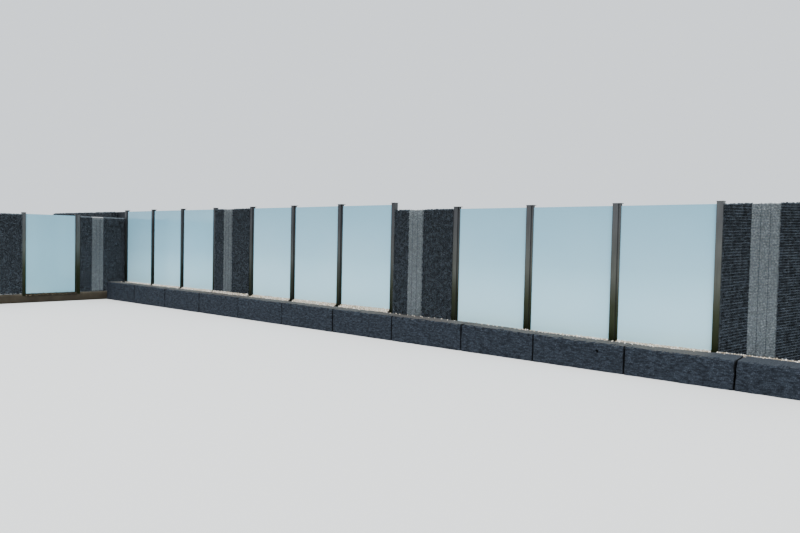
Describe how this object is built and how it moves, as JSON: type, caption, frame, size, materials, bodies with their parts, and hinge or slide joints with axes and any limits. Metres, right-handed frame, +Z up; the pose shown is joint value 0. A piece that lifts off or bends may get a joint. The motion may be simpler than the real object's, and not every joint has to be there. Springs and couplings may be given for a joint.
{
  "type": "gabion privacy screen",
  "caption": "Garden privacy screen of stone-filled wire baskets and milky glass panes between steel posts, with a wing at a right angle, a plain rear row and a granite block plinth.",
  "frame": {"origin": "centre of the corner post's foot, the underside of its foot plate, where the wing meets the main run", "axes": "+X along the main run to the right as seen from the front, +Y towards the back, +Z up; the wing runs towards -Y and faces +X"},
  "size_m": [20.546, 4.034, 2.302],
  "materials": {
    "post_steel": "brushed",
    "milky_glass": "gloss",
    "gasket_rubber": "matte",
    "basket_wire": "galvanized",
    "dark_stone": "rough",
    "light_stone": "rough",
    "granite": "split",
    "pale_gravel": "rough",
    "concrete": "matte"
  },
  "bodies": {
    "root": {"closing_sheet": "post_steel", "footing": "concrete", "gabion_1_basket": "basket_wire", "gabion_1_dark_stone": "dark_stone", "gabion_1_light_stone": "light_stone", "gabion_2_basket": "basket_wire", "gabion_2_dark_stone": "dark_stone", "gabion_2_light_stone": "light_stone", "gabion_3_basket": "basket_wire", "gabion_3_dark_stone": "dark_stone", "gabion_3_light_stone": "light_stone", "gaskets": "gasket_rubber", "gravel_bed": "pale_gravel", "left_panes": "milky_glass", "middle_panes": "milky_glass", "plinth_blocks": "granite", "post_01": "post_steel", "post_02": "post_steel", "post_03": "post_steel", "post_04": "post_steel", "post_05": "post_steel", "post_06": "post_steel", "post_07": "post_steel", "post_08": "post_steel", "post_09": "post_steel", "post_10": "post_steel", "post_11": "post_steel", "post_12": "post_steel", "post_13": "post_steel", "rear_baskets": "basket_wire", "rear_dark_stone": "dark_stone", "right_panes": "milky_glass", "wing_footing": "concrete", "wing_gabion_1_basket": "basket_wire", "wing_gabion_1_dark_stone": "dark_stone", "wing_gabion_1_light_stone": "light_stone", "wing_gabion_2_basket": "basket_wire", "wing_gabion_2_dark_stone": "dark_stone", "wing_gabion_2_light_stone": "light_stone", "wing_pane": "milky_glass", "wing_post_1": "post_steel", "wing_post_2": "post_steel", "wing_post_3": "post_steel"}
  },
  "joints": []
}
